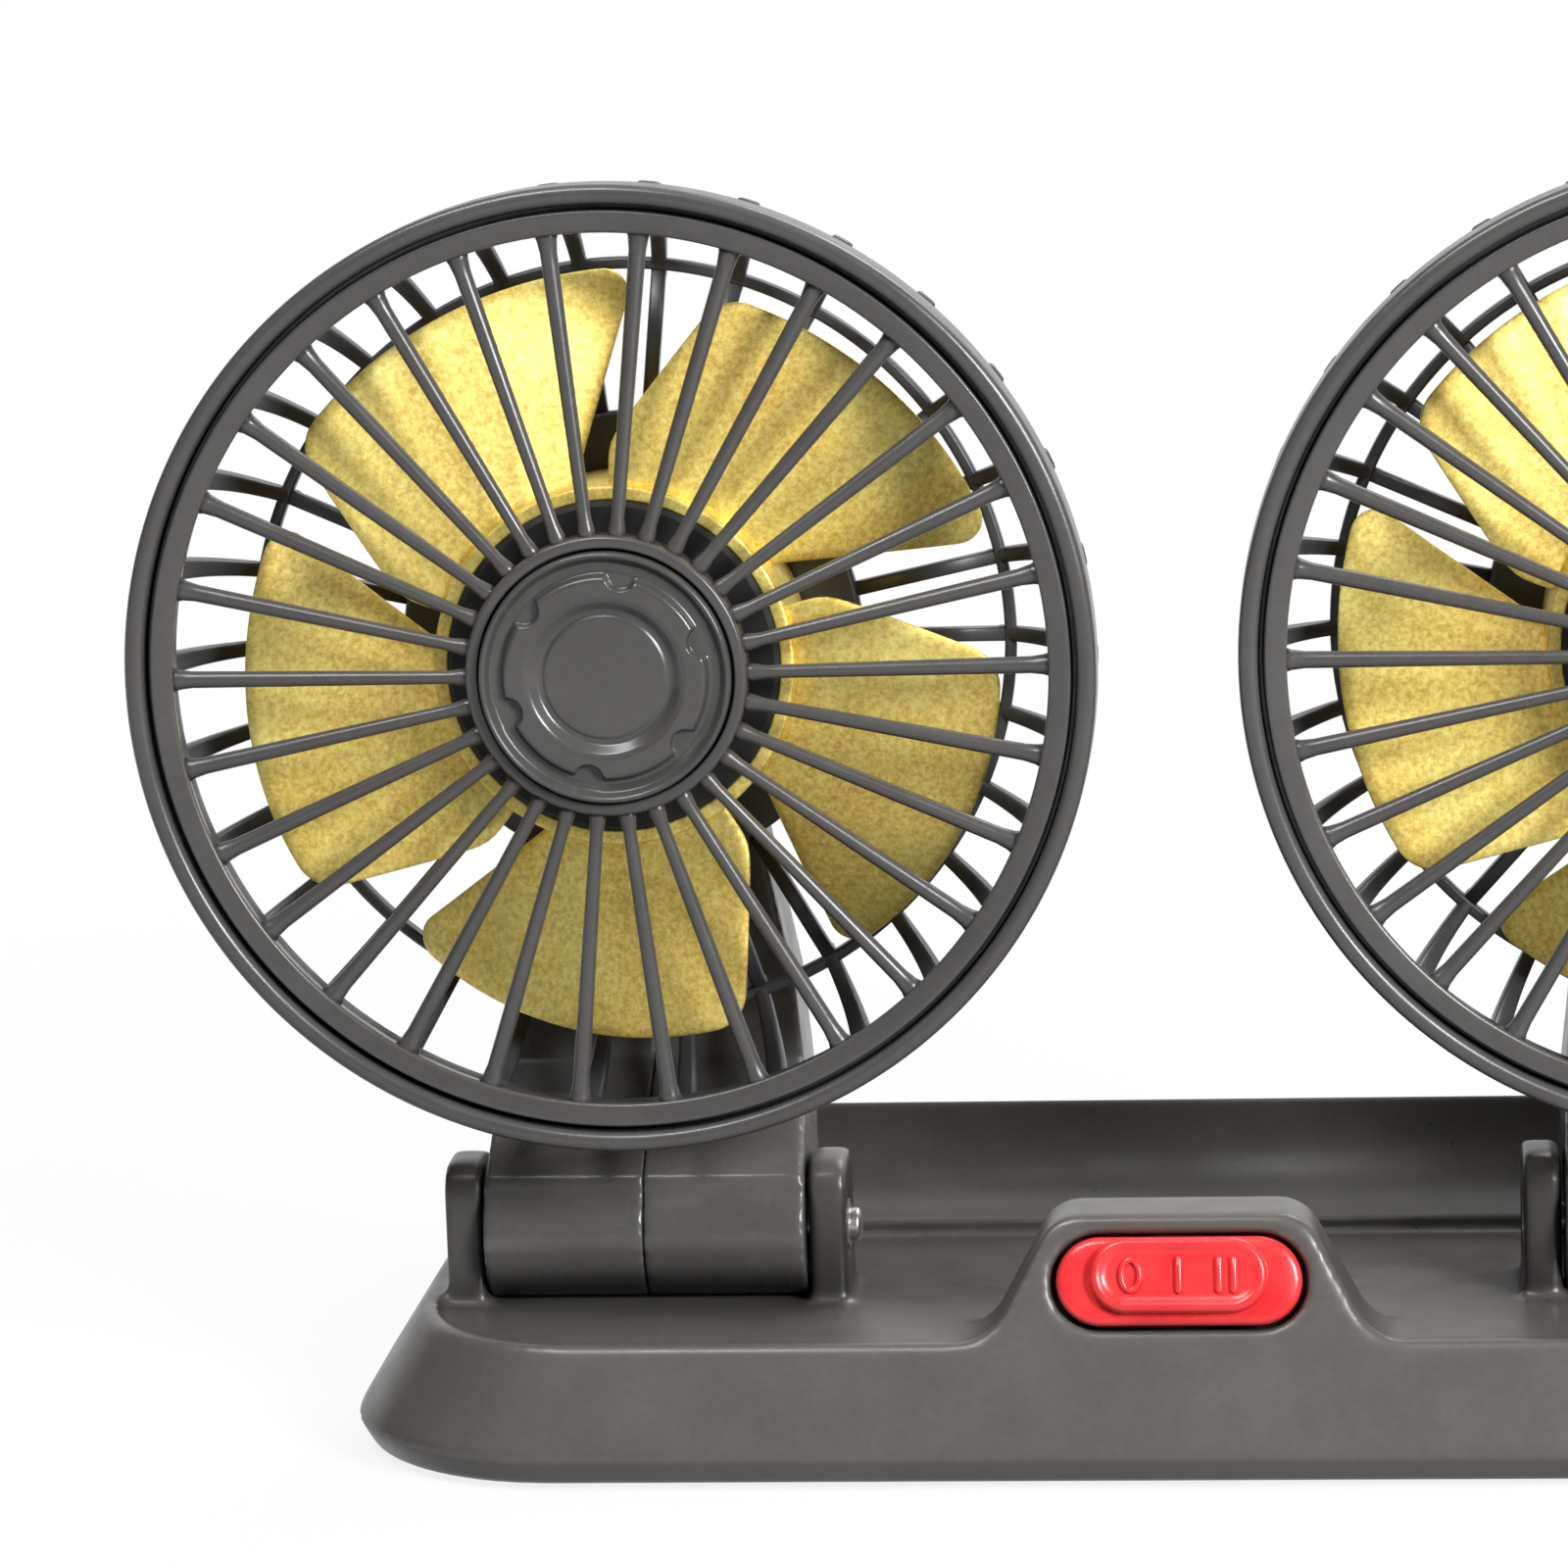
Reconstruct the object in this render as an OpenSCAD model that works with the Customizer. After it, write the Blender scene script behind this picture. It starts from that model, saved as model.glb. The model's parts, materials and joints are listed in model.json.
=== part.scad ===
// Dual-head car fan: two guarded fans on tilting arms over one long tray base.
// Millimetres, +Z up, the user sits at -Y, origin at the middle of the base on the table.

/* [Fan heads] */
// Distance from the middle of the base to each fan axis
fan_x = 64; // [63:0.5:72]
// Height of the fan axes above the table
fan_z = 94; // [93:0.5:98]
// Outside diameter of the front ring
ring_d = 112; // [110:0.5:114]
// Number of ribs in each guard
rib_count = 30; // [24:2:32]
// Number of blades on each wheel
blade_count = 5; // [4:1:6]
// Diameter swept by the blade tips
blade_tip_d = 89.6; // [80:0.2:90]

/* [Base] */
// Distance from each fan axis to the end of the base
base_end = 35; // [35:0.5:40]
// Depth of the base at its widest line
base_d = 73; // [73:1:76]
// Height of the raised back wall
wall_top = 30.6; // [28:0.2:31]
// Height of the tray floor
floor_z = 15.3; // [15.3:0.1:15.6]

/* [Hidden] */
// Length of the base at its widest line
base_l = 2 * (fan_x + base_end);
// Front of the front rings, measured from the middle of the base
fan_front_y = -26;
// Tilt axis of both arms
hinge_y = -3.5;
hinge_z = 23.5;
// Swivel axis of each head, at the top of its arm
swivel_y = 17;
// Roundness of the faceted drafted shapes
draft_fn = 64;
// Roundness of everything that is revolved
$fn = 96;

// Front grille and cap
ring_r = ring_d / 2;
rim_r = 1.15;
rim_root = 3.2;
band_w = 2.8;
band_front = 1.1;
ring_back = 6.2;
band_in_r = ring_r - 5.7;
band_back_r = ring_r - 4.6;
collar_r = 16.2;
collar_in_r = 14.7;
cap_r = 14.5;
hub_rise = 0.6;
rib_outer_r = 1.05;
rib_inner_r = 0.8;

// Blade wheel and motor
tip_r = blade_tip_d / 2;
wheel_front = 7.3;
wheel_back = 24.6;
wheel_ring_r = 21;
rotor_r = 19.3;
rotor_front = 6.5;
rotor_back = 22;
magnet_r = 17.9;
magnet_in_r = 15.6;
stator_r = 15;
tube_r = 5.2;
bearing_r = 4;
shaft_r = 1.5;
run_gap = 0.05;

// Rear guard
guard_front = ring_back;
guard_back = 28.5;
rear_rib_z = 26.2;
guard_bulge_r = ring_r - 0.1;
guard_arc = 23;
guard_arc_z = 9;
side_rib_depth = 2.2;
side_rib_w = 2.7;
side_rib_end_w = 1.7;
rear_rib_w = 1.7;
rear_ring_r = 45.6;
rear_ring_in_r = 44.2;
hub_disc_r = 27.5;
screw_ring_r = 22.8;

// Rear housing, arm and hinge
housing_r = 21;
housing_back = 38;
spindle_r = 3.8;
spindle_collar_r = 5;
spindle_z = fan_z - 41;
arm_top_z = fan_z - 23.5;
arm_half_w = 19.2;
barrel_r = 8.2;
bolt_r = 2;
bolt_head_r = 3;
bolt_head_h = 1.5;
bolt_end = 1.4;
nut_r = 3.2;
nut_h = 1.7;
ear_t = 4.6;
ear_gap = 0.3;
ear_top = 32.4;

// Base
belly_z = 4;
shell_bottom = 0.6;
lip_z = 16.5;
drafted_top_z = 31;
end_draft = 17.5;
front_draft = 8.8;
rear_draft = 4.5;
hump_top = 30.5;
hump_flat = 11.5;
hump_flank_a = 62;
hump_shoulder_r = 5;
hump_foot_r = 7;
front_tilt = atan(front_draft / (drafted_top_z - belly_z));
cover_half_l = base_l / 2 - 5.2;
cover_half_d = base_d / 2 - 5.2;
cover_top = 2.6;
wall_hollow_r = 16.5;
boss_x = [-76, -30, 30, 76];
boss_y = [-20, 22];
pad_half_l = 68;
pad_half_w = 14;
pad_corner_r = 8;
pad_fit = 0.3;
board_l = 44;
board_w = 20;

// Switch
switch_z = 23.3;
switch_y = -base_d / 2 + (switch_z - belly_z) * tan(front_tilt);
switch_half_l = 14.7;
rocker_l = 28.2;
rocker_h = 10.2;
rocker_pivot = 3.6;
trunnion_r = 0.8;

// Placing helpers

// Head frame: z = 0 is the front of the ring and z runs towards the user
module on_head(side) {
  translate([side * fan_x, fan_front_y, fan_z]) rotate([90, 0, 0]) children();
}

module on_arm(side) {
  translate([side * fan_x, 0, 0]) children();
}

// Switch frame: z = 0 is the sloping front of the hump and y runs up it
module on_panel() {
  translate([0, switch_y, switch_z]) rotate([90 - front_tilt, 0, 0]) children();
}

// A profile drawn as (y, z) and extruded along x from x0 to x1
module along_x(x0, x1) {
  translate([x0, 0, 0]) rotate([90, 0, 90]) linear_extrude(height = x1 - x0) children();
}

// A profile drawn as (x, z) and extruded along y from y0 to y1
module along_y(y0, y1) {
  translate([0, y1, 0]) rotate([90, 0, 0]) linear_extrude(height = y1 - y0) children();
}

module spread(count, radius) {
  for (i = [0 : count - 1])
    rotate([0, 0, i * 360 / count]) translate([radius, 0, 0]) children();
}

module tube(r_out, r_in, z0, z1) {
  translate([0, 0, z0]) difference() {
    cylinder(h = z1 - z0, r = r_out);
    translate([0, 0, -1]) cylinder(h = z1 - z0 + 2, r = r_in);
  }
}

function polar(r, a) = [r * cos(a), r * sin(a)];

// Points of a round corner about a middle point, from one direction to another
function corner_points(at, r, a0, a1, steps) =
  [for (i = [0 : steps]) at + polar(r, a0 + (a1 - a0) * i / steps)];

// Rounded rectangle from straight pieces and corner discs
module rounded_plate(half_l, y0, y1, r) {
  translate([-half_l + r, y0]) square([2 * (half_l - r), y1 - y0]);
  translate([-half_l, y0 + r]) square([2 * half_l, y1 - y0 - 2 * r]);
  for (sx = [-1, 1])
    for (y = [y0 + r, y1 - r])
      translate([sx * (half_l - r), y]) circle(r = r);
}

module stadium(l, h) {
  square([l - h, h], center = true);
  for (s = [-1, 1]) translate([s * (l - h) / 2, 0]) circle(d = h);
}

// Front grille: ring, ribs and hub collar in one moulding

module ring_section() {
  polygon([
    [band_in_r, -band_front], [band_back_r, -ring_back], [ring_r, -ring_back],
    [ring_r, -rim_root], [band_in_r + band_w, -rim_root], [band_in_r + band_w, -band_front]
  ]);
  translate([ring_r - 2 * rim_r, -rim_root - 0.2]) square([2 * rim_r, rim_root + 0.2 - rim_r]);
  translate([ring_r - rim_r, -rim_r]) circle(r = rim_r, $fn = 48);
}

module grille_rib() {
  rib_start = collar_r - 0.8;
  rib_run = band_in_r + 0.8 - rib_start;
  rise = atan((hub_rise + 1.4) / rib_run);
  translate([rib_start, 0, -rib_inner_r - 0.2]) rotate([0, 90 + rise, 0])
    cylinder(h = rib_run, r1 = rib_inner_r, r2 = rib_outer_r, $fn = 24);
}

module rib_root() {
  translate([band_in_r - 1.8, 0, -2.9]) rotate([0, 90, 0])
    cylinder(h = 3.4, r1 = rib_outer_r, r2 = 1.7, $fn = 24);
}

module front_grille() {
  color("dimgray") {
    rotate_extrude() ring_section();
    tube(collar_r, collar_in_r, -3.6, hub_rise);
    translate([0, 0, -3.6]) cylinder(h = 2, r = collar_r);
    spread(rib_count, 0) grille_rib();
    spread(rib_count, 0) rib_root();
  }
}

// Front cap: raised lip, groove, notched plate and a dished middle

module cap_section() {
  polygon([
    [0, -1.6], [cap_r, -1.6], [cap_r, 1.4], [cap_r - 0.5, 2],
    [13.4, 1.1], [11.9, 0.9], [11.9, 1.5], [11.4, 1.9],
    [9, 1.8], [7.4, 0.7], [7.2, 0.7], [7.2, 1], [0, 1]
  ]);
}

module front_cap() {
  color("slategray") difference() {
    rotate_extrude() cap_section();
    for (i = [0 : 5])
      rotate([0, 0, 19 + 60 * i]) translate([12, 0, 0.95])
        cylinder(h = 2, r = 1.7, $fn = 32);
  }
}

// Blade wheel: ring with five cambered blades cut from a wide barrel wall

// Direction of the middle of the first blade
first_blade_a = 122;
// Leading edge: out from the hub at this angle, then level with the blade's middle line
lead_root_a = 40;
lead_y = 16.8;
lead_corner_r = 5;
// Trailing edge: a straight line beside this direction, so far off it
trail_a = -48;
trail_off = 10;
trail_corner_r = 3;
blade_root_r = 14;
blade_t = 1.1;
blade_back = 25.4;
camber_r = 88;
camber_y = 26;

module blade_outline() {
  far = 1.2 * tip_r;
  lead_mid_r = tip_r - lead_corner_r;
  lead_mid_a = asin((lead_y - lead_corner_r) / lead_mid_r);
  trail_mid_r = tip_r - trail_corner_r;
  trail_mid_a = trail_a + asin((trail_off + trail_corner_r) / trail_mid_r);
  intersection() {
    circle(r = tip_r);
    polygon(concat(
      [polar(blade_root_r, trail_a + asin(trail_off / blade_root_r))],
      corner_points(polar(trail_mid_r, trail_mid_a), trail_corner_r,
                    trail_a - 90, trail_mid_a - 12, 6),
      [polar(far, trail_mid_a), polar(far, lead_mid_a)],
      corner_points(polar(lead_mid_r, lead_mid_a), lead_corner_r, lead_mid_a + 12, 90, 6),
      [[lead_y / tan(lead_root_a), lead_y], polar(blade_root_r, lead_root_a)]
    ));
  }
}

// Wall of a barrel that lies along the blade behind it, so the blade falls to its trailing edge
module camber_wall() {
  translate([0, camber_y, -wheel_front - camber_r]) rotate([0, 90, 0])
    tube(camber_r, camber_r - blade_t, -10, 60);
}

module blade() {
  intersection() {
    translate([0, 0, -blade_back]) linear_extrude(height = blade_back - wheel_front)
      difference() {
        blade_outline();
        circle(r = wheel_ring_r - 0.6);
      }
    camber_wall();
  }
}

module blade_wheel() {
  color("gold") {
    tube(wheel_ring_r, rotor_r, -wheel_back, -wheel_front);
    for (i = [0 : blade_count - 1])
      rotate([0, 0, first_blade_a + i * 360 / blade_count]) blade();
  }
}

// Motor: rotor cap, magnet ring and shaft turn; stator, coils, bearing and board stay

module rotor_cap() {
  color("#1c1c1c") {
    tube(rotor_r, magnet_r, -rotor_back, -rotor_front - 1.8);
    translate([0, 0, -rotor_front - 1.8]) cylinder(h = 1.2, r = rotor_r);
    translate([0, 0, -rotor_front - 0.6]) cylinder(h = 0.6, r1 = rotor_r, r2 = rotor_r - 0.6);
    tube(3.2, shaft_r, -rotor_front - 4.5, -rotor_front - 1.8);
  }
}

module rotor_magnet() {
  color("#3a3a40") tube(magnet_r, magnet_in_r, -21, -rotor_front - 2.5);
}

module motor_shaft() {
  color("silver") translate([0, 0, -25.7]) cylinder(h = 25.7 - rotor_front - 1.8, r = shaft_r);
}

module motor_bearing() {
  color("goldenrod") tube(bearing_r, shaft_r + run_gap, -26, -13);
}

module pole_shape() {
  translate([6, -1.5]) square([8, 3]);
  intersection() {
    difference() {
      circle(r = stator_r);
      circle(r = stator_r - 1.8);
    }
    polygon([[0, 0], [20, -9.5], [20, 9.5]]);
  }
}

module motor_stator() {
  color("#6a5c4c") translate([0, 0, -19.5]) linear_extrude(height = 7) {
    difference() {
      circle(r = 7.4);
      circle(r = tube_r);
    }
    for (i = [0 : 5]) rotate(60 * i) pole_shape();
  }
}

module motor_coils() {
  color("#b06a38")
    for (i = [0 : 5]) rotate([0, 0, 60 * i])
      difference() {
        translate([8.2, -3, -20.8]) cube([4.4, 6, 9.6]);
        translate([7, -1.5, -19.5]) cube([8, 3, 7]);
      }
}

module motor_board() {
  color("darkgreen") tube(15.5, tube_r, -25.2, -23.8);
}

// Rear guard: flange ring, curved side ribs, rear ring and hub disc in one moulding

// Side wall of the basket: a rounded arc from the flange back to the rear ring
module side_arc_section() {
  arc_x = guard_bulge_r - guard_arc;
  arc_z0 = -guard_back + 0.3;
  intersection() {
    translate([arc_x, -guard_arc_z]) difference() {
      circle(r = guard_arc);
      circle(r = guard_arc - side_rib_depth);
    }
    translate([arc_x + 6, arc_z0]) square([guard_arc, -guard_arc_z + 0.8 - arc_z0]);
  }
}

// Side rib, wide at the flange and narrower at the rear ring, and its straight rear bar
module guard_rib() {
  intersection() {
    rotate([90, 0, 0]) linear_extrude(height = 2 * side_rib_w, center = true) side_arc_section();
    rotate([90, 0, 90]) linear_extrude(height = ring_r) polygon([
      [-side_rib_w / 2, -guard_front], [side_rib_w / 2, -guard_front],
      [side_rib_end_w / 2, -guard_back], [-side_rib_end_w / 2, -guard_back]
    ]);
  }
  translate([hub_disc_r - 0.6, -rear_rib_w / 2, -guard_back + 0.2])
    cube([rear_ring_in_r - hub_disc_r + 1.4, rear_rib_w, guard_back - rear_rib_z - 0.4]);
}

// Hub disc with the seat for the motor board and the bearing tube
module guard_hub_section() {
  polygon([
    [0, -guard_back], [hub_disc_r, -guard_back], [hub_disc_r, -26], [8, -26], [8, -25.2],
    [tube_r, -25.2], [tube_r, -12], [bearing_r, -12], [bearing_r, -26], [0, -26]
  ]);
}

module rear_guard() {
  color("#2b2b2c") {
    tube(ring_r - 0.8, band_back_r, -guard_front - 2.6, -guard_front);
    tube(rear_ring_r, rear_ring_in_r, -guard_back, -rear_rib_z);
    spread(rib_count, 0) guard_rib();
    difference() {
      rotate_extrude() guard_hub_section();
      spread(3, screw_ring_r) translate([0, 0, -30]) cylinder(h = 6, r = 1, $fn = 32);
      translate([11, 0, -30]) cylinder(h = 6, r = 2, $fn = 32);
    }
  }
}

// Rear housing: closed cup over the back of the motor with the swivel spindle below

module housing_cup_section() {
  difference() {
    union() {
      translate([0, -30.5]) square([24.6, 2]);
      translate([0, -housing_back + 4]) square([housing_r, housing_back - 4 - guard_back]);
      translate([0, -housing_back]) square([housing_r - 4, 5]);
      translate([housing_r - 4, -housing_back + 4]) circle(r = 4, $fn = 48);
    }
    translate([-1, -housing_back + 2]) square([housing_r - 3, housing_back]);
    translate([-6, -60]) square([6, 60]);
  }
}

module bracket_section() {
  foot_z = arm_top_z + 0.5;
  polygon([
    [9, foot_z + 13], [12, foot_z + 13], [20, foot_z + 7], [22.5, foot_z + 3.2], [22.5, foot_z],
    [11, foot_z], [8, foot_z + 4]
  ]);
}

module spindle() {
  translate([0, swivel_y, spindle_z]) cylinder(h = 3, r = spindle_collar_r);
  translate([0, swivel_y, spindle_z]) cylinder(h = 20, r = spindle_r);
  translate([0, swivel_y, arm_top_z + 0.4]) cylinder(h = 3.2, r = 8);
}

module rear_housing(side) {
  color("#303032") {
    on_head(side) difference() {
      rotate_extrude() housing_cup_section();
      spread(3, screw_ring_r) translate([0, 0, -32]) cylinder(h = 5, r = 1.3, $fn = 32);
    }
    on_arm(side) {
      along_x(-8, 8) bracket_section();
      spindle();
    }
  }
}

module pan_screw(r_shank, l_shank, r_head, h_head) {
  translate([0, 0, -l_shank]) cylinder(h = l_shank + 0.1, r = r_shank, $fn = 32);
  difference() {
    cylinder(h = h_head, r1 = r_head, r2 = r_head * 0.7, $fn = 32);
    for (a = [0, 90]) rotate([0, 0, a])
      translate([-r_head * 0.5, -0.25, h_head * 0.45]) cube([r_head, 0.5, h_head]);
  }
}

module housing_screws() {
  color("silver") spread(3, screw_ring_r)
    translate([0, 0, -30.5]) rotate([180, 0, 0]) pan_screw(1, 4, 1.55, 1.2);
}

// Arm: two half shells that clamp the spindle above and carry the hinge barrel below

module arm_side_outline() {
  polygon([
    [-10, 26], [-9.5, 31], [-6.5, 33], [0, 38], [7, 42], [10.8, 50], [10.8, arm_top_z],
    [23.2, arm_top_z], [23.2, 50], [18, 38], [10, 28], [3, 19.8]
  ]);
}

module arm_front_outline() {
  polygon([
    [-arm_half_w, 10], [arm_half_w, 10], [arm_half_w, 30], [18.6, 38], [17, 50],
    [13, arm_top_z], [-13, arm_top_z], [-17, 50], [-18.6, 38], [-arm_half_w, 30]
  ]);
}

module arm_wire_outline() {
  polygon([
    [0, 31.5], [3, 35.6], [9, 39.5], [13, 46], [15.4, 43], [14.5, 38.6], [8, 29.5]
  ]);
}

module arm_half(side, dir) {
  half_x0 = dir > 0 ? 0 : -40;
  on_arm(side) difference() {
    intersection() {
      union() {
        along_x(half_x0, half_x0 + 40) arm_side_outline();
        translate([half_x0, hinge_y, hinge_z]) rotate([0, 90, 0]) cylinder(h = 40, r = barrel_r);
      }
      along_y(-20, 40) arm_front_outline();
    }
    along_x(dir > 0 ? -1 : -arm_half_w + 5, dir > 0 ? arm_half_w - 5 : 1) arm_wire_outline();
    translate([-30, hinge_y, hinge_z]) rotate([0, 90, 0]) cylinder(h = 60, r = bolt_r + run_gap);
    translate([0, swivel_y, spindle_z - 3]) cylinder(h = 30, r = spindle_r + run_gap);
    translate([0, swivel_y, spindle_z - 0.3]) cylinder(h = 3.6, r = spindle_collar_r + 0.2);
    translate([0, swivel_y - 1, spindle_z - 11]) cylinder(h = 14, r = 1.6, $fn = 32);
    arm_screw_places(side) {
      translate([0, 0, -20]) cylinder(h = 20, r = 1.1, $fn = 32);
      cylinder(h = 10, r = 2.2, $fn = 32);
    }
  }
}

// The screws go in from the side away from the middle of the base
module arm_screw_places(side) {
  for (p = [[18.6, 48], [3.2, 26.5]])
    translate([side * (arm_half_w - 6), p[0], p[1]]) rotate([0, side * 90, 0]) children();
}

module arm_screws(side) {
  color("silver") on_arm(side) arm_screw_places(side) pan_screw(1, 19, 2, 1.3);
}

module hinge_bolt(side) {
  reach = arm_half_w + ear_gap + ear_t;
  color("silver") on_arm(side) translate([-reach, hinge_y, hinge_z]) rotate([0, 90, 0]) {
    translate([0, 0, 0.1]) cylinder(h = 2 * reach + bolt_end - 0.1, r = bolt_r);
    translate([0, 0, 0.1]) cylinder(h = bolt_head_h, r = bolt_head_r);
  }
}

module hinge_nut(side) {
  reach = arm_half_w + ear_gap + ear_t;
  color("gray") on_arm(side) translate([reach - nut_h, hinge_y, hinge_z]) rotate([0, 90, 0])
    difference() {
      cylinder(h = nut_h, r = nut_r, $fn = 6);
      translate([0, 0, -1]) cylinder(h = 4, r = bolt_r);
    }
}

// Base shell: drafted tray with back wall, switch hump and four hinge ears

module base_slab(z, grow_l, y0, y1, r) {
  translate([0, 0, z]) linear_extrude(height = 0.01)
    rounded_plate(base_l / 2 + grow_l, y0, y1, r, $fn = draft_fn);
}

module drafted_block(inset) {
  hull() {
    base_slab(shell_bottom, -2 - inset, -base_d / 2 + 2 + inset, base_d / 2 - 2 - inset,
              24 - inset);
    base_slab(belly_z, -inset, -base_d / 2 + inset, base_d / 2 - inset, 26 - inset);
    base_slab(drafted_top_z, -end_draft - inset, -base_d / 2 + front_draft + inset,
              base_d / 2 - rear_draft - inset, 18 - inset);
  }
}

// Tray floor, hollow back wall face and wall top seen from the end
module wall_outline() {
  wall_y = base_d / 2 - 8;
  difference() {
    translate([wall_y - 6, floor_z - 1]) square([20, wall_top - floor_z + 1]);
    translate([wall_y - 13.4, floor_z + wall_hollow_r]) circle(r = wall_hollow_r);
    translate([wall_y - 7, floor_z + 16]) square([10.1, 16]);
  }
}

// Hump seen from the front: round shoulders run down straight flanks into hollow feet
function hump_flank(foot_z) = let(
  turn = [sin(hump_flank_a), 1 - cos(hump_flank_a)],
  shoulder = [hump_flat + hump_shoulder_r * turn[0], hump_top - hump_shoulder_r * turn[1]],
  foot_top_z = foot_z + hump_foot_r * turn[1],
  foot_x = shoulder[0] + (shoulder[1] - foot_top_z) / tan(hump_flank_a)
           + hump_foot_r * turn[0]
) concat(
  corner_points([foot_x, foot_z + hump_foot_r], hump_foot_r, -90, -90 - hump_flank_a, 8),
  corner_points([hump_flat, hump_top - hump_shoulder_r], hump_shoulder_r,
                90 - hump_flank_a, 90, 8)
);

module hump_outline(foot_z) {
  for (s = [0, 1]) mirror([s, 0])
    polygon(concat([[-1, foot_z - 2], [40, foot_z - 2], [40, foot_z]], hump_flank(foot_z),
                   [[-1, hump_top]]));
}

module base_body() {
  intersection() {
    drafted_block(0);
    union() {
      translate([-120, -60, 0]) cube([240, 120, lip_z]);
      along_x(-120, 120) wall_outline();
      along_y(-60, -18.2) hump_outline(lip_z);
    }
  }
}

module tray_recess() {
  difference() {
    intersection() {
      drafted_block(2.2);
      translate([-120, -60, floor_z]) cube([240, 120, 30]);
    }
    along_x(-120, 120) wall_outline();
    along_y(-60, -18.2) hump_outline(floor_z - 0.2);
  }
}

module ear_outline() {
  y0 = hinge_y - 5.6;
  y1 = hinge_y + 6.4;
  translate([y0, floor_z - 1]) square([y1 - y0, ear_top - 4 - floor_z + 1]);
  translate([y0 + 4, floor_z]) square([y1 - y0 - 8, ear_top - floor_z]);
  for (y = [y0 + 4, y1 - 4]) translate([y, ear_top - 4]) circle(r = 4, $fn = 48);
}

module ears() {
  inner = arm_half_w + ear_gap;
  for (side = [-1, 1])
    for (x0 = [-inner - ear_t, inner])
      along_x(side * fan_x + x0, side * fan_x + x0 + ear_t) ear_outline();
}

// Bolt hole through both ears, with the seats of the bolt head and the nut
module bolt_holes(side) {
  reach = arm_half_w + ear_gap + ear_t;
  translate([side * fan_x, hinge_y, hinge_z]) rotate([0, 90, 0]) {
    translate([0, 0, -40]) cylinder(h = 80, r = bolt_r + run_gap);
    translate([0, 0, -reach - 1]) cylinder(h = 1.1 + bolt_head_h, r = bolt_head_r + 0.3);
    translate([0, 0, reach - nut_h]) cylinder(h = nut_h + 1, r = nut_r + 0.3);
  }
}

module boss_places() {
  for (x = boss_x)
    for (y = boss_y)
      translate([x, y, 0]) children();
}

module base_cavity() {
  hull() {
    base_slab(0, -5, -base_d / 2 + 5, base_d / 2 - 5, 21);
    base_slab(floor_z - 2.3, -10.5, -base_d / 2 + 7.6, base_d / 2 - 7, 19);
  }
}

module cover_seat() {
  translate([0, 0, -1]) linear_extrude(height = cover_top + 1)
    rounded_plate(cover_half_l + 0.2, -cover_half_d - 0.2, cover_half_d + 0.2, 20.2);
}

module switch_pocket() {
  on_panel() {
    translate([0, 0, -4.2]) linear_extrude(height = 7.2) stadium(rocker_l + 1.2, rocker_h + 0.8);
    translate([-switch_half_l - 0.3, -9.5, -8.5]) cube([2 * switch_half_l + 0.6, 15.4, 4.5]);
    translate([-4, -5.9, -4.5]) cube([8, 11.8, 2.5]);
  }
}

module base_shell() {
  color("#4a4a48") difference() {
    union() {
      difference() {
        base_body();
        tray_recess();
        base_cavity();
        cover_seat();
      }
      ears();
      intersection() {
        boss_places() translate([0, 0, cover_top]) cylinder(h = floor_z - cover_top - 1, r = 3.4);
        translate([-120, -60, 0]) cube([240, 120, floor_z]);
      }
    }
    switch_pocket();
    boss_places() cylinder(h = 10, r = 1.2, $fn = 32);
    for (side = [-1, 1]) bolt_holes(side);
  }
}

// Underside: cover plate, non-slip pad and screws

module bottom_cover() {
  color("#262626") for (x = [-18, 18])
    translate([x, 0, cover_top - 0.5]) cylinder(h = 2.5, r = 2, $fn = 32);
  color("#262626") difference() {
    translate([0, 0, shell_bottom]) linear_extrude(height = cover_top - shell_bottom)
      rounded_plate(cover_half_l, -cover_half_d, cover_half_d, 20);
    translate([0, 0, -1]) linear_extrude(height = 2.2)
      rounded_plate(pad_half_l, -pad_half_w, pad_half_w, pad_corner_r);
    boss_places() {
      cylinder(h = 5, r = 1.5, $fn = 32);
      cylinder(h = 1.6, r = 3, $fn = 32);
    }
  }
}

module base_pad() {
  color("#151515") linear_extrude(height = 1.2)
    rounded_plate(pad_half_l - pad_fit, -pad_half_w + pad_fit, pad_half_w - pad_fit,
                  pad_corner_r - pad_fit);
}

module base_screws() {
  color("silver") boss_places() translate([0, 0, 1.6]) rotate([180, 0, 0])
    pan_screw(1.2, 7, 2.5, 1);
}

// Electrics in the base

module circuit_board() {
  color("darkgreen") translate([-board_l / 2, -board_w / 2, cover_top + 2])
    cube([board_l, board_w, 1.6]);
}

module board_components() {
  top = cover_top + 3.6;
  color("#202020") {
    translate([-12, -3, top]) cube([10, 7, 2.4]);
    translate([8, 2, top]) cylinder(h = 6, r = 3);
    translate([4, -8, top]) cube([12, 5, 3]);
  }
}

module switch_body() {
  color("#1a1a1a") on_panel() difference() {
    union() {
      translate([-switch_half_l, -5.8, -8.5]) cube([2 * switch_half_l, 11.6, 4.4]);
      for (s = [-1, 1]) translate([-3, s * 4.9 - 0.9, -8.5]) cube([6, 1.8, 6]);
    }
    translate([-9, -4, -7]) cube([18, 8, 10]);
    translate([0, 8, -rocker_pivot]) rotate([90, 0, 0])
      cylinder(h = 16, r = trunnion_r + run_gap, $fn = 32);
  }
}

module switch_terminals() {
  color("goldenrod") on_panel()
    for (x = [-9, 0, 9]) translate([x - 1.2, -11, -8]) cube([2.4, 5.2, 0.6]);
}

module rocker_marks(top) {
  translate([-6, 0, top]) linear_extrude(height = 0.25) difference() {
    scale([1, 1.5]) circle(r = 1.5);
    scale([1, 1.8]) circle(r = 0.9);
  }
  for (x = [-0.35, 4.4, 6])
    translate([x, -2, top]) cube([0.7, 4, 0.25]);
}

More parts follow.
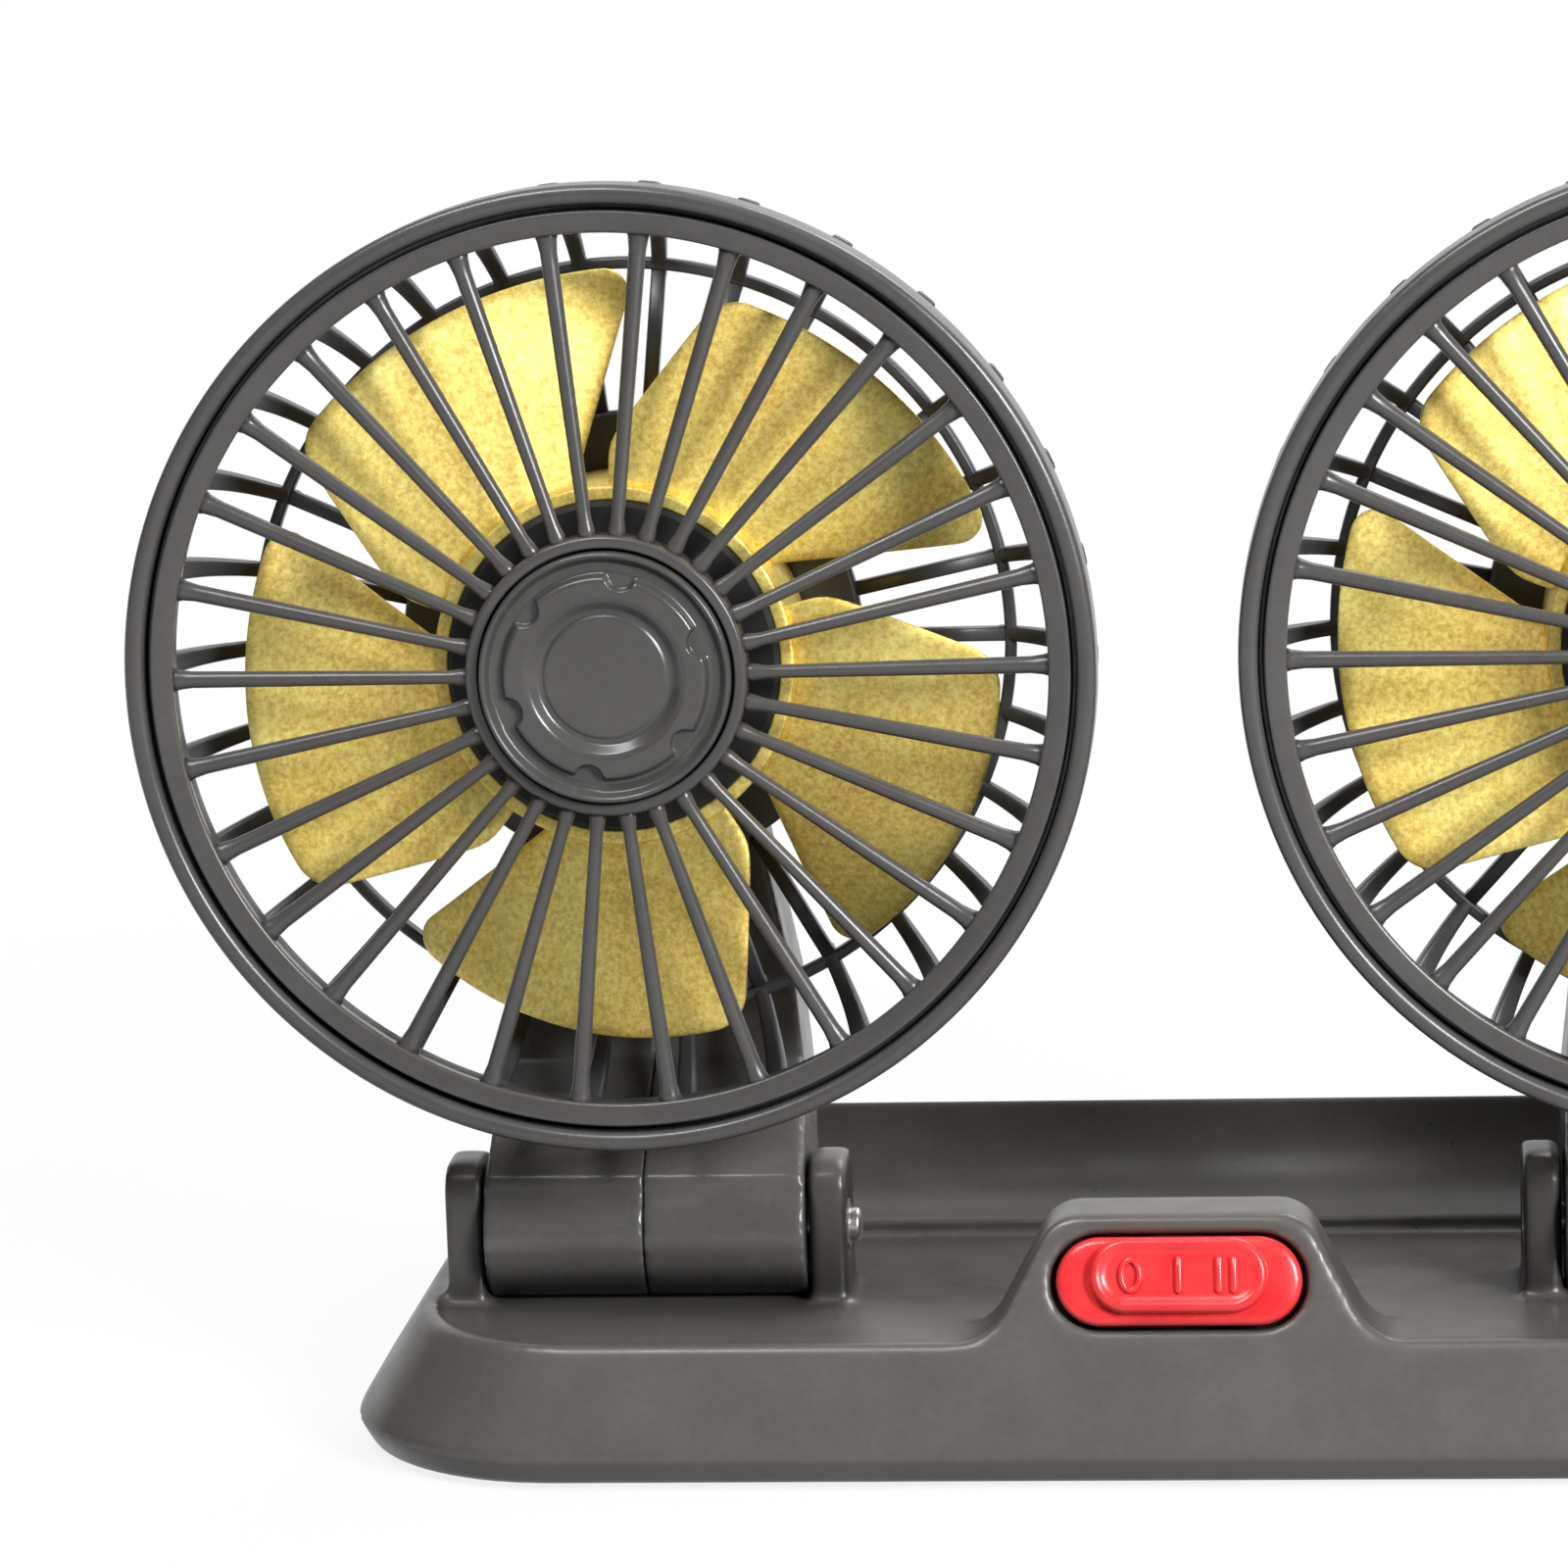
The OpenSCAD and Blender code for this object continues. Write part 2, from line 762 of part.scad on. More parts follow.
module switch_rocker() {
  pad_l = 20.6;
  pad_h = 8.6;
  color("crimson") on_panel() {
    translate([0, 0, -1.9]) linear_extrude(height = 2.9) stadium(rocker_l, rocker_h);
    translate([0, 0.4, 0.9]) linear_extrude(height = 1.3) stadium(pad_l, pad_h);
    translate([0, 0.4, 2.1]) linear_extrude(height = 0.5) difference() {
      stadium(pad_l - 1, pad_h - 1);
      stadium(pad_l - 2.6, pad_h - 2.6);
    }
    translate([0, 0.4, 0]) rocker_marks(2.1);
    translate([-6.5, -3.7, -4.4]) cube([13, 7.4, 2.6]);
    translate([0, 4.9, -rocker_pivot]) rotate([90, 0, 0])
      cylinder(h = 9.8, r = trunnion_r, $fn = 32);
  }
}

// Nodes

base_shell();
bottom_cover();
base_pad();
base_screws();
circuit_board();
board_components();
switch_body();
switch_terminals();
switch_rocker();

hinge_bolt(-1);  // left_hinge_bolt
hinge_nut(-1);  // left_hinge_nut
color("#333335") arm_half(-1, -1);  // left_arm_outer
color("#39393b") arm_half(-1, 1);  // left_arm_inner
arm_screws(-1);  // left_arm_screws
rear_housing(-1);  // left_rear_housing
on_head(-1) housing_screws();  // left_housing_screws
on_head(-1) rear_guard();  // left_rear_guard
on_head(-1) motor_board();  // left_motor_board
on_head(-1) motor_stator();  // left_motor_stator
on_head(-1) motor_coils();  // left_motor_coils
on_head(-1) motor_bearing();  // left_motor_bearing
on_head(-1) motor_shaft();  // left_motor_shaft
on_head(-1) rotor_cap();  // left_rotor_cap
on_head(-1) rotor_magnet();  // left_rotor_magnet
on_head(-1) blade_wheel();  // left_blade_wheel
on_head(-1) front_grille();  // left_front_grille
on_head(-1) front_cap();  // left_front_cap

hinge_bolt(1);  // right_hinge_bolt
hinge_nut(1);  // right_hinge_nut
color("#333335") arm_half(1, 1);  // right_arm_outer
color("#39393b") arm_half(1, -1);  // right_arm_inner
arm_screws(1);  // right_arm_screws
rear_housing(1);  // right_rear_housing
on_head(1) housing_screws();  // right_housing_screws
on_head(1) rear_guard();  // right_rear_guard
on_head(1) motor_board();  // right_motor_board
on_head(1) motor_stator();  // right_motor_stator
on_head(1) motor_coils();  // right_motor_coils
on_head(1) motor_bearing();  // right_motor_bearing
on_head(1) motor_shaft();  // right_motor_shaft
on_head(1) rotor_cap();  // right_rotor_cap
on_head(1) rotor_magnet();  // right_rotor_magnet
on_head(1) blade_wheel();  // right_blade_wheel
on_head(1) front_grille();  // right_front_grille
on_head(1) front_cap();  // right_front_cap
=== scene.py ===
"""Dual-head car fan: finished looks, stage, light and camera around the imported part.

Everything is in the part's own frame: +Z up, the user at -Y, the base standing on z = 0.
Lengths of the object are written in millimetres and turned into metres by MM. The floor and
the lamps are written in metres.
"""
import json
import math

import bmesh
import bpy
from mathutils import Matrix, Vector


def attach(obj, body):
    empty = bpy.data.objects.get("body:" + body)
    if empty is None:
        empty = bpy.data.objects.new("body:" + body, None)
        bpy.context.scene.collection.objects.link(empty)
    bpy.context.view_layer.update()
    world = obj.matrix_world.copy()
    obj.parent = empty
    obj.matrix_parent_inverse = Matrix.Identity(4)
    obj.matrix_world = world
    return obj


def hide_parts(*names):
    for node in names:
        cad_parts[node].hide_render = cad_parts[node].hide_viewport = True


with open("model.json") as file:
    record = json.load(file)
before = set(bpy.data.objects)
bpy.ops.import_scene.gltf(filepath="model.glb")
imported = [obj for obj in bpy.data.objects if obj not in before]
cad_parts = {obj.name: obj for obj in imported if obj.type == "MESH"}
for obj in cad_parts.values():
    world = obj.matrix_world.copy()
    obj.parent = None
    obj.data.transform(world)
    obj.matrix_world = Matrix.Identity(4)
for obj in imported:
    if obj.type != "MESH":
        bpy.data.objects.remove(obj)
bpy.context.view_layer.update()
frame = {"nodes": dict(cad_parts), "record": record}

# Sizes shared with the part, in millimetres
MM = 0.001
SIDES = {"left": -1, "right": 1}
FAN_X = 64
FAN_Z = 94
FAN_FRONT_Y = -26
RING_R = 56.0
RING_BACK = -6.2
BAND_BACK_R = 51.4
RIB_COUNT = 30
CAP_R = 14.5
CAP_BACK = -1.6
GUARD_BACK = -28.5
BLADE_COUNT = 5
BLADE_FIRST_DEG = 122
TIP_R = 44.7
WHEEL_FRONT = -7.3
WHEEL_BACK = -24.6
WHEEL_RING_R = 21
ROTOR_R = 19.3
HINGE_Y = -3.5
HINGE_Z = 23.5
BASE_FRONT_Y = -36.5
BELLY_Z = 4
FRONT_DRAFT = 8.8
DRAFT_HEIGHT = 27
FRONT_TILT = math.atan(FRONT_DRAFT / DRAFT_HEIGHT)
SWITCH_Z = 23.3
SWITCH_Y = BASE_FRONT_Y + (SWITCH_Z - BELLY_Z) * math.tan(FRONT_TILT)


# Materials

class Surface:
    """A node material: a Principled shader and short helpers that feed its sockets."""

    def __init__(self, name, **constants):
        self.material = bpy.data.materials.new(name)
        self.material.use_nodes = True
        self.tree = self.material.node_tree
        self.tree.nodes.clear()
        self.shader = self.node("ShaderNodeBsdfPrincipled")
        output = self.node("ShaderNodeOutputMaterial")
        self.link(self.shader.outputs["BSDF"], output.inputs["Surface"])
        self.position = self.node("ShaderNodeTexCoord").outputs["Object"]
        for socket, value in constants.items():
            self.shader.inputs[socket.replace("_", " ")].default_value = value

    def node(self, kind, **settings):
        """Adds a node and sets its properties."""
        made = self.tree.nodes.new(kind)
        for key, value in settings.items():
            setattr(made, key, value)
        return made

    def link(self, source, target):
        """Joins an output to an input."""
        self.tree.links.new(source, target)

    def noise(self, size_mm, detail=3, roughness=0.5, stretch=(1, 1, 1)):
        """Noise whose blobs are about size_mm across."""
        mapping = self.node("ShaderNodeMapping")
        mapping.inputs["Scale"].default_value = stretch
        self.link(self.position, mapping.inputs["Vector"])
        texture = self.node("ShaderNodeTexNoise")
        texture.inputs["Scale"].default_value = 1 / (size_mm * MM)
        texture.inputs["Detail"].default_value = detail
        texture.inputs["Roughness"].default_value = roughness
        self.link(mapping.outputs["Vector"], texture.inputs["Vector"])
        return texture.outputs["Fac"]

    def cells(self, size_mm):
        """Rounded cells about size_mm across."""
        texture = self.node("ShaderNodeTexVoronoi")
        texture.inputs["Scale"].default_value = 1 / (size_mm * MM)
        self.link(self.position, texture.inputs["Vector"])
        return texture.outputs["Distance"]

    def stripes(self, scale, distortion=0.0):
        """Fine even stripes across y; a larger scale packs them closer."""
        texture = self.node("ShaderNodeTexWave", bands_direction="Y")
        texture.inputs["Scale"].default_value = scale
        texture.inputs["Distortion"].default_value = distortion
        self.link(self.position, texture.inputs["Vector"])
        return texture.outputs["Fac"]

    def ramp(self, source, stops):
        """Colours or grey levels along source: stops are (position, colour or level)."""
        ramp = self.node("ShaderNodeValToRGB")
        elements = ramp.color_ramp.elements
        while len(elements) < len(stops):
            elements.new(0.5)
        for element, (position, value) in zip(elements, stops):
            colour = value if hasattr(value, "__len__") else (value, value, value)
            element.position = position
            element.color = (*colour, 1)
        self.link(source, ramp.inputs["Fac"])
        return ramp.outputs["Color"]

    def mix(self, share, first, second, blend="MIX"):
        """Mixes two colour outputs, with that share of the second."""
        mix = self.node("ShaderNodeMix", data_type="RGBA", blend_type=blend)
        mix.inputs["Factor"].default_value = share
        self.link(first, mix.inputs["A"])
        self.link(second, mix.inputs["B"])
        return mix.outputs["Result"]

    def bump(self, *layers):
        """Stacks (height, strength, depth in mm) layers into the shader's normal."""
        normal = None
        for height, strength, depth in layers:
            bump = self.node("ShaderNodeBump")
            bump.inputs["Strength"].default_value = strength
            bump.inputs["Distance"].default_value = depth * MM
            self.link(height, bump.inputs["Height"])
            if normal:
                self.link(normal, bump.inputs["Normal"])
            normal = bump.outputs["Normal"]
        self.link(normal, self.shader.inputs["Normal"])

    def painted_corner_shade(self, source, reach_mm, darkest, shut_at=0.15, open_at=0.6, own_only=False):
        """Paints shade into a colour in corners and hollows, formed by any piece or by its own
        alone.
        """
        openness = self.node("ShaderNodeAmbientOcclusion", samples=6, only_local=own_only)
        openness.inputs["Distance"].default_value = reach_mm * MM
        light = self.ramp(openness.outputs["AO"], [(shut_at, darkest), (open_at, 1.0)])
        return self.mix(1.0, source, light, blend="MULTIPLY")

    def colour(self, source):
        """Feeds the base colour."""
        self.link(source, self.shader.inputs["Base Color"])

    def roughness(self, source):
        """Feeds the roughness."""
        self.link(source, self.shader.inputs["Roughness"])


def shade(colour, factor):
    """The colour made darker or lighter by a factor."""
    return tuple(min(1, c * factor) for c in colour)


def moulded_plastic(name, colour, gloss=0.42, grain=0.16, reach_mm=20, darkest=0.35,
                    hollow_mm=0):
    """Injection-moulded plastic: soft cloudy tone, fine spark-eroded grain, uneven sheen.

    Painted shade darkens it in corners within reach_mm, or with hollow_mm only in its own wide
    hollows.
    """
    cloud_mm, speck_mm, sheen_mm, grain_mm, wave_mm = 14, 0.9, 6, 0.5, 9
    mottling = 0.12
    surface = Surface(name, Specular_IOR_Level=0.5, IOR=1.5)
    darker = shade(colour, 1 - mottling)
    lighter = shade(colour, 1 + mottling)
    clouds = surface.ramp(surface.noise(cloud_mm, detail=4), [(0.3, darker), (0.7, lighter)])
    specks = surface.ramp(surface.noise(speck_mm, detail=2), [(0.35, darker), (0.65, lighter)])
    tone = surface.mix(0.35, clouds, specks)
    # Painted shade: the colour darkens where nearby surfaces would block the light
    if hollow_mm:
        tone = surface.painted_corner_shade(tone, hollow_mm, darkest=0.15, shut_at=0.46, open_at=0.9,
                                 own_only=True)
    else:
        tone = surface.painted_corner_shade(tone, reach_mm, darkest)
    surface.colour(tone)
    surface.roughness(surface.ramp(surface.noise(sheen_mm, detail=3),
                                   [(0.3, gloss - 0.05), (0.7, gloss + 0.07)]))
    surface.bump((surface.noise(grain_mm, detail=3), grain, 0.06),
                 (surface.noise(wave_mm, detail=1), 0.06, 0.4))
    return surface.material


def pearl_yellow(name):
    """Gold-yellow pearl: a metallic body with sandy flake and pale drifts under a soft coat."""
    surface = Surface(name, Metallic=0.85, Specular_IOR_Level=0.6, IOR=1.48, Coat_Weight=0.6,
                      Coat_IOR=2.0, Coat_Roughness=0.55)
    surface.shader.inputs["Coat Tint"].default_value = (1.0, 1.0, 0.78, 1)
    gold, straw, pale = (0.74, 0.50, 0.08), (0.88, 0.68, 0.15), (1.0, 0.90, 0.32)
    brown, amber, cream = (0.42, 0.23, 0.03), (0.84, 0.62, 0.11), (1.0, 0.94, 0.42)
    drifts = surface.ramp(surface.noise(17, detail=4, roughness=0.6),
                          [(0.32, gold), (0.5, straw), (0.68, pale)])
    sand = surface.ramp(surface.noise(0.75, detail=4, roughness=0.75),
                        [(0.36, brown), (0.5, amber), (0.64, cream)])
    surface.colour(surface.mix(0.5, drifts, sand))
    surface.roughness(surface.ramp(surface.noise(0.8, detail=3), [(0.35, 0.54), (0.65, 0.66)]))
    surface.bump((surface.noise(0.6, detail=4, roughness=0.7), 0.28, 0.07))
    return surface.material


def glossy_red(name):
    """Bright red rocker plastic with a clear sheen and slight handling haze."""
    surface = Surface(name, Specular_IOR_Level=0.5, IOR=1.5, Coat_Weight=0.25,
                      Coat_Roughness=0.12)
    deep, bright = (0.74, 0.018, 0.024), (0.90, 0.040, 0.042)
    surface.colour(surface.ramp(surface.noise(7, detail=3), [(0.3, deep), (0.7, bright)]))
    surface.roughness(surface.ramp(surface.noise(2.5, detail=3), [(0.3, 0.24), (0.7, 0.36)]))
    surface.bump((surface.noise(0.5, detail=2), 0.06, 0.04))
    return surface.material


def plated_steel(name, colour=(0.62, 0.61, 0.59), roughness=0.26):
    """Bright plated steel with turned scratches and a few duller patches."""
    surface = Surface(name, Metallic=1.0)
    patches = surface.noise(3, detail=3)
    scratches = surface.noise(0.5, detail=3, stretch=(1, 1, 9))
    surface.colour(surface.ramp(patches, [(0.3, shade(colour, 0.86)), (0.7, colour)]))
    surface.roughness(surface.ramp(scratches, [(0.3, roughness), (0.7, roughness + 0.14)]))
    surface.bump((scratches, 0.12, 0.03))
    return surface.material


def copper_winding(name):
    """Varnished copper wire wound in fine turns."""
    surface = Surface(name, Metallic=0.8, Coat_Weight=0.4, Coat_Roughness=0.2)
    gap, wire = (0.28, 0.10, 0.04), (0.72, 0.33, 0.14)
    turns = surface.stripes(900, distortion=0.8)
    surface.colour(surface.ramp(turns, [(0.2, gap), (0.8, wire)]))
    surface.roughness(surface.ramp(surface.noise(2), [(0.3, 0.3), (0.7, 0.45)]))
    surface.bump((turns, 0.5, 0.15))
    return surface.material


def laminated_core(name):
    """Stacked motor laminations, seen edge on as fine dark lines."""
    surface = Surface(name, Metallic=0.7)
    joint, steel = (0.10, 0.09, 0.08), (0.34, 0.31, 0.28)
    sheets = surface.stripes(600)
    surface.colour(surface.ramp(sheets, [(0.2, joint), (0.8, steel)]))
    surface.roughness(surface.ramp(surface.noise(2), [(0.3, 0.42), (0.7, 0.6)]))
    surface.bump((sheets, 0.3, 0.08))
    return surface.material


def circuit_green(name):
    """Solder-masked board with a faint woven glass pattern."""
    surface = Surface(name, Coat_Weight=0.3, Coat_Roughness=0.15)
    dark, light = (0.008, 0.07, 0.03), (0.02, 0.15, 0.06)
    weave = surface.cells(0.8)
    surface.colour(surface.ramp(weave, [(0.0, dark), (0.8, light)]))
    surface.roughness(surface.ramp(surface.noise(3), [(0.3, 0.32), (0.7, 0.46)]))
    surface.bump((weave, 0.12, 0.05))
    return surface.material


def black_rubber(name):
    """Dull non-slip rubber with a pebbled skin and traces of dust."""
    surface = Surface(name, Specular_IOR_Level=0.35)
    clean, dusty = (0.012, 0.012, 0.012), (0.034, 0.033, 0.031)
    dust = surface.noise(11, detail=5)
    surface.colour(surface.ramp(dust, [(0.35, clean), (0.75, dusty)]))
    surface.roughness(surface.ramp(dust, [(0.3, 0.72), (0.7, 0.88)]))
    surface.bump((surface.cells(1.1), 0.45, 0.2), (surface.noise(0.4), 0.2, 0.05))
    return surface.material


def sintered(name, low, high, roughness):
    """Pressed powder parts: ferrite magnets and bronze bearings."""
    surface = Surface(name, Metallic=0.5)
    pores = surface.noise(0.6, detail=4, roughness=0.7)
    surface.colour(surface.ramp(pores, [(0.35, low), (0.65, high)]))
    surface.roughness(surface.ramp(pores, [(0.3, roughness), (0.7, roughness + 0.15)]))
    surface.bump((pores, 0.3, 0.06))
    return surface.material


# Every moulded plastic gets painted shade in its corners: deepest on the arms, spread over wide
# hollows on the base
MATERIALS = {
    "base_plastic": moulded_plastic("base_plastic", (0.094, 0.088, 0.081), gloss=0.32, grain=0.10,
                                    hollow_mm=90),
    "guard_plastic": moulded_plastic("guard_plastic", (0.068, 0.065, 0.063), gloss=0.27),
    "rear_plastic": moulded_plastic("rear_plastic", (0.044, 0.046, 0.052), gloss=0.36),
    "arm_plastic": moulded_plastic("arm_plastic", (0.112, 0.108, 0.103), gloss=0.28, grain=0.05,
                                   reach_mm=24, darkest=0.08),
    "cap_plastic": moulded_plastic("cap_plastic", (0.064, 0.062, 0.059), gloss=0.24, grain=0.03,
                                   reach_mm=3, darkest=0.3),
    "blade_yellow": pearl_yellow("blade_yellow"),
    "rotor_black": moulded_plastic("rotor_black", (0.004, 0.004, 0.004), gloss=0.6),
    "switch_red": glossy_red("switch_red"),
    "switch_black": moulded_plastic("switch_black", (0.014, 0.014, 0.014), gloss=0.45),
    "pad_rubber": black_rubber("pad_rubber"),
    "cover_plastic": moulded_plastic("cover_plastic", (0.030, 0.030, 0.031), gloss=0.5),
    "steel": plated_steel("steel"),
    "brass": plated_steel("brass", (0.68, 0.46, 0.18), 0.3),
    "copper_winding": copper_winding("copper_winding"),
    "core_steel": laminated_core("core_steel"),
    "magnet": sintered("magnet", (0.03, 0.03, 0.034), (0.09, 0.09, 0.10), 0.5),
    "board_green": circuit_green("board_green"),
    "chip_black": moulded_plastic("chip_black", (0.018, 0.018, 0.018), gloss=0.55),
}

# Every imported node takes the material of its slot
slot_of = {row["node"]: row["material_slot"] for row in frame["record"]["subparts"]}
for node_name, node_object in frame["nodes"].items():
    node_object.data.materials.clear()
    node_object.data.materials.append(MATERIALS[slot_of[node_name]])


# Mesh helpers

def head_matrix(side_name):
    """From head millimetres (right, up, towards the user) to the part's frame."""
    place = Matrix(((1, 0, 0, SIDES[side_name] * FAN_X), (0, 0, -1, FAN_FRONT_Y),
                    (0, 1, 0, FAN_Z), (0, 0, 0, 1)))
    return Matrix.Scale(MM, 4) @ place


def panel_matrix():
    """From switch millimetres (right, up the slope, out of it) to the part's frame."""
    turn = Matrix.Rotation(math.pi / 2 - FRONT_TILT, 4, "X")
    return Matrix.Scale(MM, 4) @ Matrix.Translation((0, SWITCH_Y, SWITCH_Z)) @ turn


def fillet_loop(corners, steps=5):
    """Rounds a closed outline: corners are (x, y, radius).

    A round takes up less than half of each side, so neighbours never meet.
    """
    most = 0.49
    points = []
    count = len(corners)
    for i, (x, y, radius) in enumerate(corners):
        corner = Vector((x, y))
        before = Vector(corners[i - 1][:2]) - corner
        after = Vector(corners[(i + 1) % count][:2]) - corner
        half = before.angle(after) / 2
        reach = min(radius / math.tan(half), most * before.length, most * after.length)
        start = corner + before.normalized() * reach
        end = corner + after.normalized() * reach
        for step in range(steps + 1):
            t = step / steps
            points.append((1 - t) ** 2 * start + 2 * t * (1 - t) * corner + t * t * end)
    return points


def bridge_loops(bm, loops, close_around=True):
    """Quads between neighbouring loops of equal length."""
    for low, high in zip(loops, loops[1:]):
        count = len(low)
        for i in range(count if close_around else count - 1):
            j = (i + 1) % count
            bm.faces.new((low[i], low[j], high[j], high[i]))


def skin_closed(bm, loops):
    """Skins a row of loops and closes both its ends."""
    bridge_loops(bm, loops)
    bm.faces.new(loops[0][::-1])
    bm.faces.new(loops[-1])


def revolve(bm, outline, segments):
    """Turns a closed (radius, height) outline round the z axis."""
    loops = []
    for i in range(segments):
        angle = 2 * math.pi * i / segments
        loops.append([bm.verts.new((radius * math.cos(angle), radius * math.sin(angle), height))
                      for radius, height in outline])
    bridge_loops(bm, loops + loops[:1])


def make_piece(name, bm, matrix, body, slot, replaced):
    """Turns a bmesh into a smooth-shaded piece that rides on a body."""
    bmesh.ops.recalc_face_normals(bm, faces=bm.faces)
    mesh = bpy.data.meshes.new(name)
    bm.to_mesh(mesh)
    bm.free()
    return place_piece(name, mesh, matrix, body, slot, replaced)


def place_piece(name, mesh, matrix, body, slot, replaced):
    """Hangs a mesh on its body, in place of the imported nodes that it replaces."""
    mesh.transform(matrix)
    mesh.shade_smooth()
    mesh.materials.clear()
    mesh.materials.append(MATERIALS[slot])
    piece = bpy.data.objects.new(name, mesh)
    bpy.context.scene.collection.objects.link(piece)
    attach(piece, body)
    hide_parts(*replaced)
    return piece


def baked(piece):
    """Applies a piece's modifiers to its mesh."""
    depsgraph = bpy.context.evaluated_depsgraph_get()
    mesh = bpy.data.meshes.new_from_object(piece.evaluated_get(depsgraph))
    piece.modifiers.clear()
    piece.data = mesh
    mesh.shade_smooth()
    return piece


def soft_copy(node, body, name, voxel_mm, passes):
    """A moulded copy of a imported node: its edges and inner corners melted into fillets."""
    weld_mm = 0.001
    mesh = frame["nodes"][node].data.copy()
    bm = bmesh.new()
    bm.from_mesh(mesh)
    bmesh.ops.remove_doubles(bm, verts=bm.verts, dist=weld_mm * MM)
    bm.to_mesh(mesh)
    bm.free()
    piece = place_piece(name, mesh, Matrix.Identity(4), body, slot_of[node], [node])
    remesh = piece.modifiers.new("voxels", "REMESH")
    remesh.mode = "VOXEL"
    remesh.voxel_size = voxel_mm * MM
    smooth = piece.modifiers.new("melt", "SMOOTH")
    smooth.factor = 0.5
    smooth.iterations = passes
    return baked(piece)


# Front grille: ring with its groove, 30 flared ribs and the hub collar

def ring_outline():
    """Section of the ring: the rolled rim, the groove and the drafted band inside it."""
    rim_in_r, groove_r, band_in_r = 53.75, 53.1, 50.4
    rim_roll = 1.15
    groove_z, band_z, band_lip_z = -3.2, -0.7, -1.2
    return fillet_loop([
        (RING_R, RING_BACK, 0.3), (RING_R, 0.0, rim_roll), (rim_in_r, 0.0, rim_roll),
        (rim_in_r, groove_z, 0.2), (groove_r, groove_z, 0.2), (groove_r, band_z, 0.45),
        (band_in_r, band_lip_z, 0.5), (BAND_BACK_R, RING_BACK, 0.4),
    ])


def collar_outline():
    """Section of the hub collar, with the recess that holds the cap."""
    collar_r, recess_r, bore_r = 16.2, 14.75, 2.0
    front, back = 0.6, -3.6
    return fillet_loop([
        (collar_r, back, 0.3), (collar_r, front, 0.6), (recess_r, front, 0.3),
        (recess_r, CAP_BACK, 0.2), (bore_r, CAP_BACK, 0.2), (bore_r, back, 0.2),
    ])


def smooth_step(x, low, high):
    """0 up to low, 1 from high on, and an even S-curve between."""
    t = min(1, max(0, (x - low) / (high - low)))
    return t * t * (3 - 2 * t)


def add_rib(bm, angle, sides=14, rings=26):
    """A round rib that thickens outwards and flares where it meets ring and collar."""
    start, end = 15.4, BAND_BACK_R
    hub_z, fall = -1.0, 2.0
    hub_girth, swell = 0.76, 0.26
    ring_root = (48.9, 51.0)
    hub_root = (-17.6, -16.4)
    turn = Matrix.Rotation(angle, 4, "Z")
    loops = []
    for i in range(rings):
        t = i / (rings - 1)
        along = start + (end - start) * t
        height = hub_z - fall * t
        girth = hub_girth + swell * t
        ring_flare = smooth_step(along, *ring_root) ** 2
        hub_flare = smooth_step(-along, *hub_root)
        wide = girth + 0.7 * ring_flare + 0.35 * hub_flare
        tall = girth + 0.6 * ring_flare + 0.25 * hub_flare
        loop = []
        for k in range(sides):
            a = 2 * math.pi * k / sides
            point = Vector((along, wide * math.cos(a), height + tall * math.sin(a)))
            loop.append(bm.verts.new(turn @ point))
        loops.append(loop)
    skin_closed(bm, loops)


def front_grille(side_name):
    """The front grille of one head."""
    bm = bmesh.new()
    revolve(bm, ring_outline(), 240)
    revolve(bm, collar_outline(), 144)
    for i in range(RIB_COUNT):
        add_rib(bm, 2 * math.pi * i / RIB_COUNT)
    make_piece(f"{side_name}_grille_moulding", bm, head_matrix(side_name),
               f"{side_name}_head", "guard_plastic", [f"{side_name}_front_grille"])


# Rear guard: flange, curved side ribs, rear ring with its bars, and the hub disc

def flange_outline():
    """Section of the flange that closes the back of the front ring."""
    flange_r, flange_back = 55.2, -8.8
    return fillet_loop([
        (BAND_BACK_R, flange_back, 0.5), (flange_r, flange_back, 0.8),
        (flange_r, RING_BACK, 0.2), (BAND_BACK_R, RING_BACK, 0.2),
    ])


def rear_ring_outline():
    """Section of the ring that ties the side ribs together at the back."""
    in_r, out_r, front, corner = 44.2, 45.6, -26.2, 0.5
    return fillet_loop([
        (in_r, GUARD_BACK, corner), (out_r, GUARD_BACK, corner),
        (out_r, front, corner), (in_r, front, corner),
    ])


def hub_disc_outline():
    """Section of the hub disc, its step and the bearing tube that stands on it."""
    bore_r, tube_r, step_r, disc_r = 4.05, 5.2, 8.0, 27.5
    tube_front, step_front, disc_front = -12.0, -25.2, -26.0
    return fillet_loop([
        (bore_r, GUARD_BACK, 0.2), (disc_r, GUARD_BACK, 0.8), (disc_r, disc_front, 0.8),
        (step_r, disc_front, 0.3), (step_r, step_front, 0.1), (tube_r, step_front, 0.1),
        (tube_r, tube_front, 0.3), (bore_r, tube_front, 0.1),
    ])


def rounded_section(half_u, half_v, corner):
    """Points round a bar's cross-section with round corners."""
    return fillet_loop([(half_u, -half_v, corner), (half_u, half_v, corner),
                        (-half_u, half_v, corner), (-half_u, -half_v, corner)], 3)


def add_sweep(bm, angle, stations):
    """Skins (radius, z, outward tilt, section) stations of a bar, turned round the axis."""
    turn = Matrix.Rotation(angle, 4, "Z")
    loops = []
    for radius, z, tilt, section in stations:
        loop = []
        for u, v in section:
            point = Vector((radius + v * math.cos(tilt), u, z + v * math.sin(tilt)))
            loop.append(bm.verts.new(turn @ point))
        loops.append(loop)
    skin_closed(bm, loops)


